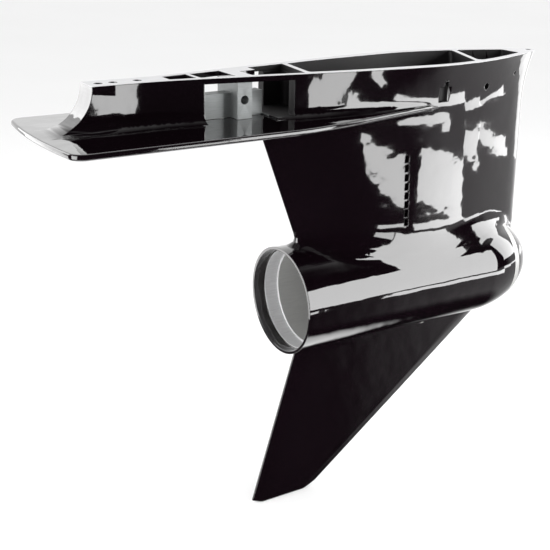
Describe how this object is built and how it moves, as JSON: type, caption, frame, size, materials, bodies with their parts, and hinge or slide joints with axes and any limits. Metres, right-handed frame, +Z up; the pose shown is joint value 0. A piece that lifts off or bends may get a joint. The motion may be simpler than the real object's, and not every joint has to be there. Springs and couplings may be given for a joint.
{
  "type": "outboard lower unit",
  "caption": "Outboard lower unit: painted gearcase with plate, torpedo and skeg, holding drive shaft, water pump, bevel gears and shift shaft; propeller shaft out.",
  "frame": {"origin": "the drive shaft's axis at the machined deck face that bolts up under the middle section", "axes": "+X forward, +Y port, +Z up along the drive shaft"},
  "size_m": [0.634, 0.182, 0.5175],
  "materials": {
    "gearcase_paint": "cast, gloss black paint",
    "bare_aluminium": "machined",
    "bearing_steel": "ground",
    "plain_steel": "satin",
    "gear_steel": "ground, hardened",
    "drive_steel": "turned",
    "stainless_steel": "satin",
    "bush_bronze": "bored",
    "nitrile_rubber": "matt",
    "impeller_rubber": "matt",
    "gasket_sheet": "matt",
    "pump_plastic": "moulded"
  },
  "bodies": {
    "gearcase": {"gearcase_housing": "gearcase_paint", "upper_bearing_cup": "bearing_steel", "forward_bearing_cup": "bearing_steel", "forward_bearing_shim": "plain_steel", "bearing_retainer_nut": "plain_steel", "pinion_bearing_shell": "bearing_steel", "seal_carrier": "bare_aluminium", "seal_carrier_ring": "nitrile_rubber", "lower_shaft_seal": "nitrile_rubber", "upper_shaft_seal": "nitrile_rubber", "pump_base_gasket": "gasket_sheet", "pump_base": "pump_plastic", "pump_wear_plate": "stainless_steel", "pump_liner": "stainless_steel", "pump_housing": "pump_plastic", "water_tube_grommet": "nitrile_rubber", "pump_bolts": "stainless_steel", "shift_shaft_bushing": "bush_bronze", "shift_shaft_seal": "nitrile_rubber", "shift_bushing_screws": "stainless_steel", "drain_plug": "stainless_steel", "drain_plug_washer": "gasket_sheet"},
    "drive_line": {"drive_shaft": "drive_steel", "pinion_gear": "gear_steel", "pinion_nut": "plain_steel", "upper_bearing_cone": "bearing_steel", "impeller": "impeller_rubber", "impeller_key": "plain_steel"},
    "forward_gear_set": {"forward_gear": "gear_steel", "forward_gear_bush": "bush_bronze", "forward_bearing_cone": "bearing_steel"},
    "upper_cage_set": {"upper_bearing_cage": "plain_steel", "upper_bearing_rollers": "bearing_steel"},
    "pinion_cage_set": {"pinion_bearing_cage": "plain_steel", "pinion_bearing_rollers": "bearing_steel"},
    "forward_cage_set": {"forward_bearing_cage": "plain_steel", "forward_bearing_rollers": "bearing_steel"},
    "shift_set": {"shift_shaft": "drive_steel", "shift_cam": "plain_steel"}
  },
  "joints": [
    {"name": "forward_gear_spin", "type": "hinge", "parent": "gearcase", "child": "forward_gear_set", "pos_m": [0.0575, 0, -0.261], "axis": [1, 0, 0], "continuous": true},
    {"name": "drive_shaft_spin", "type": "hinge", "parent": "gearcase", "child": "drive_line", "pos_m": [0, 0, -0.126], "axis": [0, 0, 1], "continuous": true},
    {"name": "upper_cage_spin", "type": "hinge", "parent": "gearcase", "child": "upper_cage_set", "pos_m": [0, 0, -0.126], "axis": [0, 0, 1], "continuous": true},
    {"name": "pinion_cage_spin", "type": "hinge", "parent": "gearcase", "child": "pinion_cage_set", "pos_m": [0, 0, -0.193], "axis": [0, 0, 1], "continuous": true},
    {"name": "forward_cage_spin", "type": "hinge", "parent": "gearcase", "child": "forward_cage_set", "pos_m": [0.0575, 0, -0.261], "axis": [1, 0, 0], "continuous": true},
    {"name": "shift_shaft_turn", "type": "hinge", "parent": "gearcase", "child": "shift_set", "pos_m": [0.088, 0, -0.081], "axis": [0, 0, 1], "range_deg": [-28, 28]}
  ],
  "couplings": [
    {"joint": "drive_shaft_spin", "follows": "forward_gear_spin", "ratio": -1.8571},
    {"joint": "upper_cage_spin", "follows": "forward_gear_spin", "ratio": -0.73918},
    {"joint": "pinion_cage_spin", "follows": "forward_gear_spin", "ratio": -0.78132},
    {"joint": "forward_cage_spin", "follows": "forward_gear_spin", "ratio": 0.41425}
  ]
}
